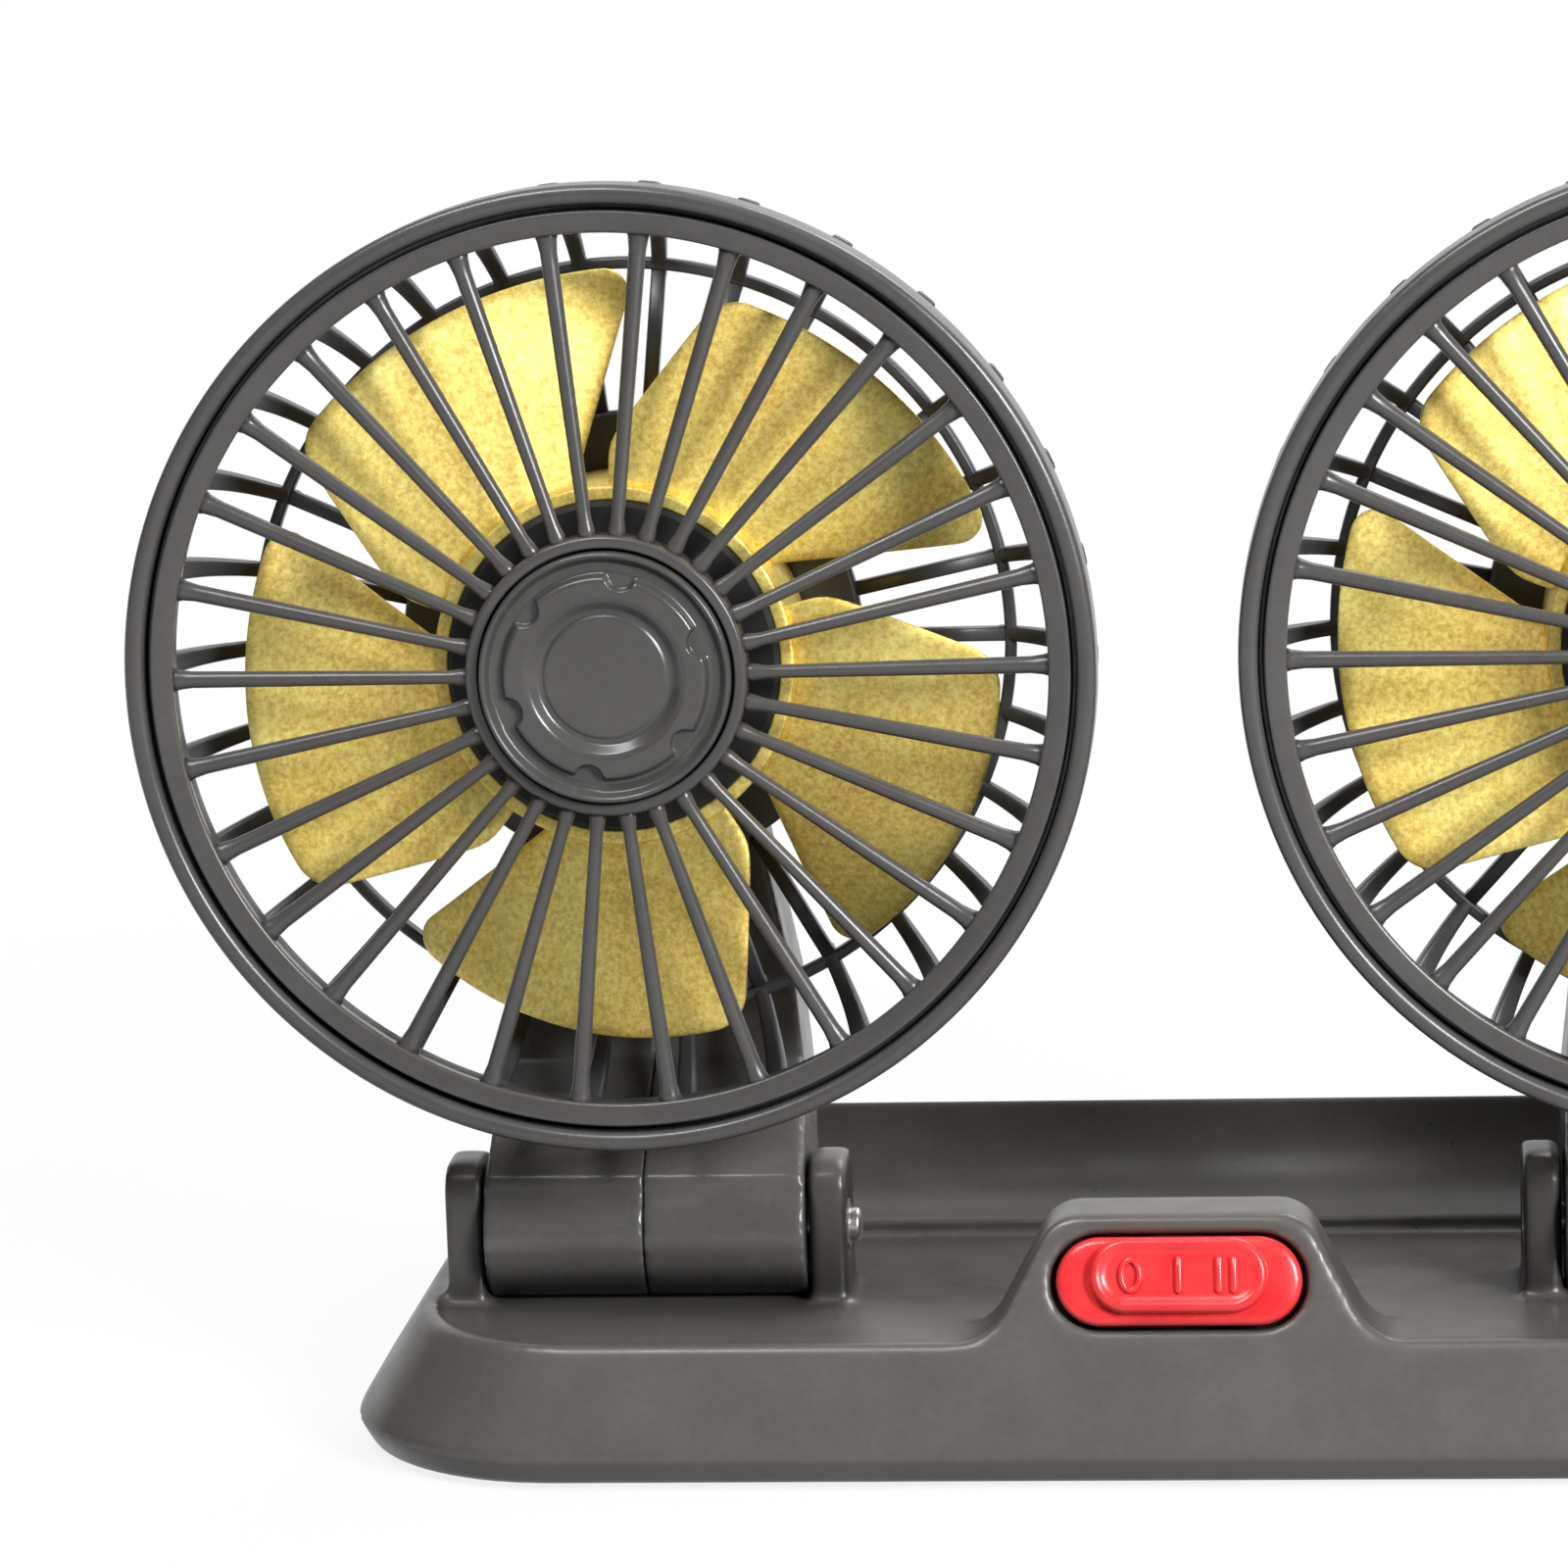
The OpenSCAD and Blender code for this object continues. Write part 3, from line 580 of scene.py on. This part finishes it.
def side_rib_stations(count=16):
    """A side rib follows an arc, wide at the flange and narrower at the rear ring."""
    centre_r, centre_z, arc_r = 32.9, -9.0, 21.9
    first, last = math.radians(2.1), math.radians(-61.3)
    half_width, narrowing, half_thick, corner = 1.35, 0.5, 1.1, 0.55
    stations = []
    for i in range(count + 1):
        t = i / count
        tilt = first + (last - first) * t
        section = rounded_section(half_width - narrowing * smooth_step(t, 0, 1.0), half_thick,
                                  corner)
        stations.append((centre_r + arc_r * math.cos(tilt), centre_z + arc_r * math.sin(tilt),
                         tilt, section))
    return stations


def rear_bar_stations():
    """A straight bar runs from the hub disc out to the rear ring."""
    start, end, middle_z = 26.9, 45.0, -27.35
    flat = math.pi / 2
    section = rounded_section(0.85, 0.95, 0.4)
    return [(start, middle_z, flat, section), (end, middle_z, flat, section)]


def rear_guard(side_name):
    """The rear guard of one head."""
    bm = bmesh.new()
    revolve(bm, flange_outline(), 180)
    revolve(bm, rear_ring_outline(), 180)
    revolve(bm, hub_disc_outline(), 144)
    side_rib = side_rib_stations()
    rear_bar = rear_bar_stations()
    for i in range(RIB_COUNT):
        angle = 2 * math.pi * i / RIB_COUNT
        add_sweep(bm, angle, side_rib)
        add_sweep(bm, angle, rear_bar)
    make_piece(f"{side_name}_guard_moulding", bm, head_matrix(side_name),
               f"{side_name}_head", "rear_plastic", [f"{side_name}_rear_guard"])


# Front cap: one polar sheet, lip, groove, notched plate edge and dished middle

# The cap's face from the middle to the rim, as (radius, height)
CAP_PROFILE = [
    (0.0, 1.0), (6.9, 1.0), (7.3, 0.75), (7.8, 0.85), (8.8, 1.7), (9.4, 1.9), (11.2, 1.9),
    (11.6, 1.75), (11.9, 0.95), (12.3, 0.8), (13.3, 1.0), (13.8, 1.75), (14.1, 1.98),
    (14.35, 1.9), (CAP_R, 1.5), (CAP_R, CAP_BACK),
]


def cap_height(radius):
    """Height of the face at that radius, without the notches."""
    for (r0, z0), (r1, z1) in zip(CAP_PROFILE, CAP_PROFILE[1:]):
        if r0 <= radius <= r1:
            return z0 + (z1 - z0) * (radius - r0) / (r1 - r0) if r1 > r0 else z0
    return CAP_PROFILE[-1][1]


def notched_height(radius, angle):
    """Height of the face with six round notches sunk into the plate's edge."""
    plate_edge_r = 13.2
    notch_at, notch_r, notch_floor = 12.0, 1.75, 0.85
    first_deg, pitch_deg = 19, 60
    height = cap_height(radius)
    if radius >= plate_edge_r:
        return height
    half_pitch = pitch_deg / 2
    off_notch = math.radians((math.degrees(angle) - first_deg + half_pitch) % pitch_deg
                             - half_pitch)
    away = math.hypot(radius * math.cos(off_notch) - notch_at, radius * math.sin(off_notch))
    inside = 1 - smooth_step(away, notch_r - 0.15, notch_r + 0.1)
    return height + (min(height, notch_floor) - height) * inside


def front_cap(side_name):
    """The cap of one head: one round sheet, folded back behind its rim."""
    segments = 360
    rows = 89
    middle_r, step, edge_r, back_r = 0.3, 0.16, 14.45, 2.0
    radii = [middle_r + step * i for i in range(rows)] + [edge_r, CAP_R]
    bm = bmesh.new()
    loops = []
    for radius in radii:
        loop = []
        for i in range(segments):
            angle = 2 * math.pi * i / segments
            point = (radius * math.cos(angle), radius * math.sin(angle),
                     notched_height(radius, angle))
            loop.append(bm.verts.new(point))
        loops.append(loop)
    rim = loops[-1]
    for radius in (CAP_R, back_r):
        loops.append([bm.verts.new((v.co.x / CAP_R * radius, v.co.y / CAP_R * radius, CAP_BACK))
                      for v in rim])
    bridge_loops(bm, loops)
    bm.faces.new(loops[0])
    bm.faces.new(loops[-1][::-1])
    make_piece(f"{side_name}_cap_disc", bm, head_matrix(side_name),
               f"{side_name}_head", "cap_plastic", [f"{side_name}_front_cap"])


# Blade wheel: thin ring and five cambered blades that thin towards round edges

LEAD_ROOT_DEG = 40
LEAD_OFFSET = 16.8
LEAD_CORNER = 5
TRAIL_DEG = -48
TRAIL_OFFSET = 10
TRAIL_CORNER = 3
CAMBER_R = 88
CAMBER_Y = 26
BLADE_HALF_THICK = 0.55


def straight_edge(radius, offset, inward):
    """Angle at that radius of a line offset from the axis, with a round corner at the tip."""
    corner = abs(inward)
    centre_r = TIP_R - corner
    centre_y = offset + inward
    centre_x = math.sqrt(centre_r ** 2 - centre_y ** 2)
    if radius <= math.hypot(centre_x, offset):
        return math.asin(offset / radius)
    cosine = (radius ** 2 + centre_r ** 2 - corner ** 2) / (2 * radius * centre_r)
    reach = math.acos(min(1, cosine))
    return math.asin(centre_y / centre_r) - math.copysign(reach, inward)


def blade_angles(radius):
    """Trailing and leading edge of a blade at that radius, from the blade's middle.

    The leading edge leaves the hub at its root angle and bends softly into a straight line.
    """
    trail = math.radians(TRAIL_DEG) + straight_edge(radius, TRAIL_OFFSET, TRAIL_CORNER)
    lead = straight_edge(radius, LEAD_OFFSET, -LEAD_CORNER)
    gap = lead - math.radians(LEAD_ROOT_DEG)
    soft = math.radians(3)
    return trail, lead - 0.5 * (gap + math.sqrt(gap ** 2 + soft ** 2))


def blade_height(radius, angle):
    """Depth of the front face behind the ring front, on a barrel that lies along the blade."""
    across = radius * math.sin(angle) - CAMBER_Y
    return WHEEL_FRONT - CAMBER_R + math.sqrt(CAMBER_R ** 2 - across ** 2)


def blade_half_thickness(radius, share):
    """Half thickness at a radius and a share of the way across, thin at the edges."""
    side_steepness, tip_taper, thinnest = 30, 1.2, 0.25
    body = min(share * side_steepness, (1 - share) * side_steepness,
               (TIP_R - radius) / tip_taper, 1)
    return BLADE_HALF_THICK * (thinnest + (1 - thinnest) * math.sqrt(max(0, body)))


def add_blade_face(bm, middle, face, around=40, outward=34):
    """One face of a blade, 1 in front and -1 behind, as rows from the root to the tip."""
    sink = 0.7
    rows = []
    for i in range(outward + 1):
        eased = math.sin(math.pi / 2 * i / outward)
        radius = WHEEL_RING_R - sink + (TIP_R - WHEEL_RING_R + sink) * eased
        rear, front = blade_angles(max(radius, WHEEL_RING_R))
        row = []
        for k in range(around + 1):
            share = 0.5 - 0.5 * math.cos(math.pi * k / around)
            angle = rear + (front - rear) * share
            thick = blade_half_thickness(radius, share)
            height = blade_height(radius, angle) - BLADE_HALF_THICK + face * thick
            row.append(bm.verts.new((radius * math.cos(middle + angle),
                                     radius * math.sin(middle + angle), height)))
        rows.append(row)
    bridge_loops(bm, rows, close_around=False)
    return rows


def add_blade(bm, middle):
    """A blade about its middle direction: two faces joined along their four borders."""
    top = add_blade_face(bm, middle, 1)
    bottom = add_blade_face(bm, middle, -1)
    borders = [
        ([row[0] for row in top], [row[0] for row in bottom]),
        ([row[-1] for row in bottom], [row[-1] for row in top]),
        (bottom[-1], top[-1]),
        (top[0], bottom[0]),
    ]
    for border in borders:
        bridge_loops(bm, border, close_around=False)


def blade_wheel(side_name):
    """The blade wheel of one head."""
    bore_r = ROTOR_R + 0.02
    bm = bmesh.new()
    revolve(bm, fillet_loop([
        (WHEEL_RING_R, WHEEL_BACK, 0.3), (WHEEL_RING_R, WHEEL_FRONT, 0.5),
        (bore_r, WHEEL_FRONT, 0.3), (bore_r, WHEEL_BACK, 0.3)]), 144)
    for i in range(BLADE_COUNT):
        add_blade(bm, math.radians(BLADE_FIRST_DEG + 360 * i / BLADE_COUNT))
    make_piece(f"{side_name}_blades", bm, head_matrix(side_name),
               f"{side_name}_rotor", "blade_yellow", [f"{side_name}_blade_wheel"])


# Rocker: stacked rounded outlines, a raised pad with its rim, and the marks 0 I II

# Steps of the rocker's body and of its pad, as (inset, height)
ROCKER_LAYERS = [(0.6, -4.2), (0, -1.8), (0, 0.2), (0.15, 0.6), (0.45, 0.87), (0.9, 1.0),
                 (2.0, 1.05)]
PAD_LAYERS = [(0, 0.6), (0.05, 1.6), (0.2, 2.2), (0.5, 2.5), (0.8, 2.6), (1.1, 2.52),
              (1.4, 2.3), (1.7, 2.12), (2.2, 2.05)]


def stadium_points(length, height, count=24):
    """Points round a slot shape of that outside length and height."""
    radius = height / 2
    reach = (length - height) / 2
    points = []
    for side in (1, -1):
        for i in range(count + 1):
            angle = -math.pi / 2 + math.pi * i / count
            if side < 0:
                angle += math.pi
            points.append((side * reach + radius * math.cos(angle), radius * math.sin(angle)))
    return points


def add_layers(bm, length, height, layers, rise=0.0):
    """Closes a shape from (inset, z) layers of one slot outline."""
    loops = []
    for inset, z in layers:
        outline = stadium_points(length - 2 * inset, height - 2 * inset)
        loops.append([bm.verts.new((x, y + rise, z)) for x, y in outline])
    skin_closed(bm, loops)


def add_bar(bm, x, y, length, width, z, height):
    """An upright stroke of a mark: a small slot shape with a rounded top."""
    outline = stadium_points(length, width, 8)
    steps = [(1, 1, z), (1, 1, z + 0.6 * height), (0.4, 0.96, z + height)]
    loops = []
    for narrowed, shortened, level in steps:
        loops.append([bm.verts.new((x + across * narrowed, y + along * shortened, level))
                      for along, across in outline])
    skin_closed(bm, loops)


def add_oval(bm, x, y, half_w, half_h, stroke, z, height):
    """The mark 0: a raised oval line."""
    segments = 32
    section = [(-1, z), (-0.6, z + height), (0.6, z + height), (1, z)]
    loops = []
    for i in range(segments):
        angle = 2 * math.pi * i / segments
        loop = []
        for across, level in section:
            shift = across * stroke / 2
            loop.append(bm.verts.new((x + (half_w + shift) * math.cos(angle),
                                      y + (half_h + shift) * math.sin(angle), level)))
        loops.append(loop)
    bridge_loops(bm, loops + loops[:1])


def rocker():
    """The switch's rocker with its three marks."""
    body_l, body_h, pad_l, pad_h = 28.2, 10.2, 20.6, 8.8
    rise = 0.6
    mark_z, mark_h = 2.0, 0.5
    oval_x, oval_half_w, oval_half_h, oval_stroke = -5.5, 1.05, 1.75, 0.85
    bar_l, bar_w = 4.3, 0.95
    bm = bmesh.new()
    add_layers(bm, body_l, body_h, ROCKER_LAYERS)
    add_layers(bm, pad_l, pad_h, PAD_LAYERS, rise)
    add_oval(bm, oval_x, rise, oval_half_w, oval_half_h, oval_stroke, mark_z, mark_h)
    for bar_x in (0, 4.6, 6.3):
        add_bar(bm, bar_x, rise, bar_l, bar_w, mark_z, mark_h)
    make_piece("rocker_cap", bm, panel_matrix(), "switch", "switch_red", ["switch_rocker"])


# Hinge bolts: a head with a small hollow, the shank and the round end past the nut

def hinge_bolt(side_name):
    """The bolt of one hinge, drawn along z and laid across its ears."""
    # From the hinge's middle to the outside of its ears
    reach = 24.1
    shank_r, head_r, hollow_r, hollow_floor_r, end_r = 2, 3.0, 1.5, 1.2, 1.4
    axis_r = 0.05
    hollow_floor = -reach + 0.5
    head_face = -reach + 0.12
    head_back = -reach + 1.6
    shoulder = reach + 1.1
    end = reach + 1.4
    bm = bmesh.new()
    revolve(bm, fillet_loop([
        (axis_r, hollow_floor, 0.02), (hollow_floor_r, hollow_floor, 0.05),
        (hollow_r, head_face, 0.1), (head_r, head_face, 0.4), (head_r, head_back, 0.1),
        (shank_r, head_back, 0.05), (shank_r, shoulder, 0.5), (end_r, end, 0.3),
        (axis_r, end, 0.02)]), 64)
    across = Matrix.Rotation(math.pi / 2, 4, "Y")
    place = Matrix.Translation((SIDES[side_name] * FAN_X, HINGE_Y, HINGE_Z)) @ across
    make_piece(f"{side_name}_bolt", bm, Matrix.Scale(MM, 4) @ place, "base", "steel",
               [f"{side_name}_hinge_bolt"])


rocker()
soft_copy("base_shell", "base", "base_moulding", voxel_mm=0.55, passes=14)
for side_name in SIDES:
    front_grille(side_name)
    rear_guard(side_name)
    front_cap(side_name)
    blade_wheel(side_name)
    hinge_bolt(side_name)
    for half in ("outer", "inner"):
        soft_copy(f"{side_name}_arm_{half}", f"{side_name}_arm",
                  f"{side_name}_arm_{half}_shell", voxel_mm=0.4, passes=9)


# Stage, light and camera, in metres where a name says nothing else

# Name, place, target, width and height, and power in watts
LAMPS = [
    ("key", (0.60, -0.66, 0.43), (0, 0, 0.07), (0.30, 0.30), 12),
    ("upper", (-0.30, -0.44, 0.86), (-0.03, 0, 0.07), (0.5, 0.25), 6),
    ("top", (0.0, 0.04, 1.1), (0, 0, 0.06), (0.8, 0.4), 1.5),
    ("back", (0.40, 0.62, 0.95), (0, 0, 0.07), (0.6, 0.6), 7),
]
FILL_LEVEL = 0.09
PHOTO_PX = 1600
FOCAL_PX = 5900
SENSOR_MM = 36
CAMERA_MM = (19.1, -673.9, 195.7)
CAMERA_YAW_PITCH_ROLL_DEG = (5.56, 9.98, -1.89)


def stage_floor():
    """A wide pale floor that curves up into a backdrop behind the object."""
    half_width, front_y, bend_y, bend_r, top_z = 5.0, -3.0, 2.0, 1.5, 4.0
    bend_steps = 24
    profile = [(front_y, 0.0)]
    for i in range(bend_steps + 1):
        angle = math.pi / 2 * i / bend_steps
        profile.append((bend_y + bend_r * math.sin(angle), bend_r - bend_r * math.cos(angle)))
    profile.append((bend_y + bend_r, top_z))
    bm = bmesh.new()
    rows = [[bm.verts.new((x, y, z)) for y, z in profile] for x in (-half_width, half_width)]
    bridge_loops(bm, rows, close_around=False)
    mesh = bpy.data.meshes.new("floor")
    bm.to_mesh(mesh)
    bm.free()
    mesh.shade_smooth()
    floor = bpy.data.objects.new("floor", mesh)
    bpy.context.scene.collection.objects.link(floor)
    floor.data.materials.append(floor_material())


def map_range(tree, source, to_low, to_high, from_low=0.0, from_high=1.0):
    """Maps a linked value from one range to another, and stops at its ends."""
    node = tree.nodes.new("ShaderNodeMapRange")
    node.inputs["From Min"].default_value = from_low
    node.inputs["From Max"].default_value = from_high
    node.inputs["To Min"].default_value = to_low
    node.inputs["To Max"].default_value = to_high
    tree.links.new(source, node.inputs["Value"])
    return node.outputs["Result"]


def math_node(tree, operation, first, second):
    """Joins two linked values by one operation."""
    node = tree.nodes.new("ShaderNodeMath")
    node.operation = operation
    tree.links.new(first, node.inputs[0])
    tree.links.new(second, node.inputs[1])
    return node.outputs[0]


def distance_from_middle(tree):
    """Distance of the shaded point from the part's origin."""
    geometry = tree.nodes.new("ShaderNodeNewGeometry")
    length = tree.nodes.new("ShaderNodeVectorMath")
    length.operation = "LENGTH"
    tree.links.new(geometry.outputs["Position"], length.inputs[0])
    return length.outputs["Value"]


def floor_material():
    """Plain pale floor: white to the camera and in mirrors, but for the object's shadow."""
    grey_to_lamps, pale_to_camera = 0.16, 0.8
    near, far, white_near, white_far = 0.12, 0.40, 0.85, 1.0
    material = bpy.data.materials.new("pale_floor")
    material.use_nodes = True
    tree = material.node_tree
    tree.nodes.clear()
    path = tree.nodes.new("ShaderNodeLightPath")
    direct = math_node(tree, "MAXIMUM", path.outputs["Is Camera Ray"],
                       path.outputs["Is Transmission Ray"])
    seen = math_node(tree, "MAXIMUM", direct, path.outputs["Is Glossy Ray"])
    whiteness = map_range(tree, distance_from_middle(tree), white_near, white_far, near, far)
    share = math_node(tree, "MULTIPLY", seen, whiteness)
    diffuse = tree.nodes.new("ShaderNodeBsdfDiffuse")
    tree.links.new(map_range(tree, direct, grey_to_lamps, pale_to_camera),
                   diffuse.inputs["Color"])
    white = tree.nodes.new("ShaderNodeEmission")
    white.inputs["Color"].default_value = (1, 1, 1, 1)
    white.inputs["Strength"].default_value = 1.0
    mix = tree.nodes.new("ShaderNodeMixShader")
    tree.links.new(share, mix.inputs["Fac"])
    tree.links.new(diffuse.outputs[0], mix.inputs[1])
    tree.links.new(white.outputs[0], mix.inputs[2])
    output = tree.nodes.new("ShaderNodeOutputMaterial")
    tree.links.new(mix.outputs[0], output.inputs["Surface"])
    return material


def soft_lamp(name, place, target, size, power):
    """A rectangular softbox at place, aimed at target."""
    data = bpy.data.lights.new(name, "AREA")
    data.shape = "RECTANGLE"
    data.size, data.size_y = size
    data.energy = power
    lamp = bpy.data.objects.new(name, data)
    lamp.location = place
    lamp.rotation_euler = (Vector(target) - Vector(place)).to_track_quat("-Z", "Y").to_euler()
    bpy.context.scene.collection.objects.link(lamp)


def world_light(level):
    """Even studio fill; what the camera sees directly is white."""
    world = bpy.data.worlds.new("studio")
    world.use_nodes = True
    tree = world.node_tree
    background = tree.nodes["Background"]
    background.inputs["Color"].default_value = (1, 1, 1, 1)
    path = tree.nodes.new("ShaderNodeLightPath")
    strength = map_range(tree, path.outputs["Is Camera Ray"], level, 1.0)
    tree.links.new(strength, background.inputs["Strength"])
    bpy.context.scene.world = world


def photo_camera():
    """The photograph's own viewpoint, found by fitting the rings, blades and base."""
    yaw, pitch, roll = (math.radians(angle) for angle in CAMERA_YAW_PITCH_ROLL_DEG)
    forward = Vector((-math.sin(yaw) * math.cos(pitch), math.cos(yaw) * math.cos(pitch),
                      -math.sin(pitch)))
    level_right = Vector((math.cos(yaw), math.sin(yaw), 0))
    level_up = level_right.cross(forward)
    right = math.cos(roll) * level_right + math.sin(roll) * level_up
    up = math.cos(roll) * level_up - math.sin(roll) * level_right
    turn = Matrix((right, up, -forward)).transposed().to_4x4()
    data = bpy.data.cameras.new("photo_camera")
    data.sensor_width = SENSOR_MM
    data.lens = FOCAL_PX * SENSOR_MM / PHOTO_PX
    data.clip_start = 0.05
    data.clip_end = 60
    camera = bpy.data.objects.new("photo_camera", data)
    camera.matrix_world = Matrix.Translation(Vector(CAMERA_MM) * MM) @ turn
    bpy.context.scene.collection.objects.link(camera)
    bpy.context.scene.camera = camera


stage_floor()
world_light(FILL_LEVEL)
for lamp in LAMPS:
    soft_lamp(*lamp)
photo_camera()
bpy.context.scene.view_settings.view_transform = "Standard"
